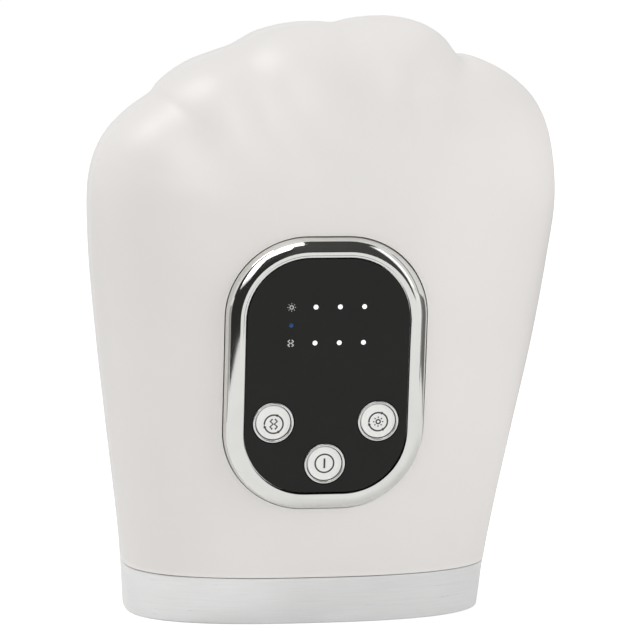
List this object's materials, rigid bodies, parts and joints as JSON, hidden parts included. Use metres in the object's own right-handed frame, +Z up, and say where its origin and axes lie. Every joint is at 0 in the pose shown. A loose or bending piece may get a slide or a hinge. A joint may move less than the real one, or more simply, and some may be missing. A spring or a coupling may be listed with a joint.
{
  "type": "hand massager",
  "caption": "Cordless mitt-shaped hand massager with a cloth-lined hand pocket, a chrome-framed control panel with push buttons, and air bags, heat and lamps inside.",
  "frame": {"origin": "middle of the bounding box at the bottom of the mouth ring, on which the massager stands", "axes": "+Z up from the mouth to the finger end, control panel facing -Y, rubber feet facing +Y, +X to the right of someone who looks at the panel"},
  "size_m": [0.1601, 0.0995, 0.204],
  "materials": {
    "shell_white": "fine satin, warm white",
    "silver_trim": "satin silver paint",
    "chrome_trim": "mirror plating",
    "panel_black": "gloss black window",
    "button_white": "semi-gloss white",
    "board_green": "circuit board lacquer",
    "inner_black": "moulded black",
    "inner_white": "moulded natural white",
    "steel": "plain steel",
    "cell_wrap": "blue film over the cell's can",
    "rubber_grey": "matt rubber",
    "bag_film": "coated air-tight cloth",
    "heat_pad": "film heater on cloth",
    "liner_cloth": "soft dark grey cloth",
    "window_clear": "clear plastic",
    "hose_clear": "clear soft hose"
  },
  "bodies": {
    "housing": {"front_shell": "shell_white", "rear_shell": "shell_white", "mouth_ring": "silver_trim", "liner_clamp_ring": "inner_black", "hand_liner": "liner_cloth", "panel_bezel": "chrome_trim", "panel_lens": "panel_black", "button_ring_left": "chrome_trim", "button_ring_right": "chrome_trim", "button_ring_bottom": "chrome_trim", "tact_switch_left": "inner_black", "tact_switch_right": "inner_black", "tact_switch_bottom": "inner_black", "control_board": "board_green", "light_baffle": "inner_black", "buzzer": "inner_black", "works_plate": "inner_white", "base_plate": "inner_white", "light_window": "window_clear", "light_board": "board_green", "upper_airbag": "bag_film", "heating_pad": "heat_pad", "nodule_plate": "inner_white", "lower_airbag": "bag_film", "battery_cell_1": "cell_wrap", "battery_cell_2": "cell_wrap", "battery_cradle": "inner_black", "pump_motor": "steel", "pump_head": "inner_black", "pump_saddle": "rubber_grey", "valve_body": "inner_black", "pump_hose": "hose_clear", "upper_bag_hose": "hose_clear", "lower_bag_hose": "hose_clear", "rubber_foot_1": "rubber_grey", "rubber_foot_2": "rubber_grey", "rubber_foot_3": "rubber_grey", "rubber_foot_4": "rubber_grey", "case_screw_1": "steel", "case_screw_2": "steel", "case_screw_3": "steel", "case_screw_4": "steel", "charge_socket": "steel", "charge_board": "board_green"},
    "left_button": {"button_cap_left": "button_white", "switch_plunger_left": "inner_white"},
    "right_button": {"button_cap_right": "button_white", "switch_plunger_right": "inner_white"},
    "bottom_button": {"button_cap_bottom": "button_white", "switch_plunger_bottom": "inner_white"},
    "pump_shaft": {"pump_crank": "steel"},
    "release_plunger": {"valve_plunger": "steel"}
  },
  "joints": [
    {"name": "left_button_press", "type": "slide", "parent": "housing", "child": "left_button", "axis": [0, 0.9958, 0.0915], "range_m": [0, 0.0006], "stiffness_N_per_m": 800, "springref_m": -0.0005},
    {"name": "right_button_press", "type": "slide", "parent": "housing", "child": "right_button", "axis": [0, 0.9958, 0.0915], "range_m": [0, 0.0006], "stiffness_N_per_m": 800, "springref_m": -0.0005},
    {"name": "bottom_button_press", "type": "slide", "parent": "housing", "child": "bottom_button", "axis": [0, 0.9958, 0.0915], "range_m": [0, 0.0006], "stiffness_N_per_m": 800, "springref_m": -0.0005},
    {"name": "pump_shaft_spin", "type": "hinge", "parent": "housing", "child": "pump_shaft", "pos_m": [0.0053, -0.02483, 0.15427], "axis": [1, 0, 0], "continuous": true},
    {"name": "release_plunger_stroke", "type": "slide", "parent": "housing", "child": "release_plunger", "axis": [0, 1, 0], "range_m": [0, 0.0012], "stiffness_N_per_m": 300, "springref_m": -0.0005}
  ]
}
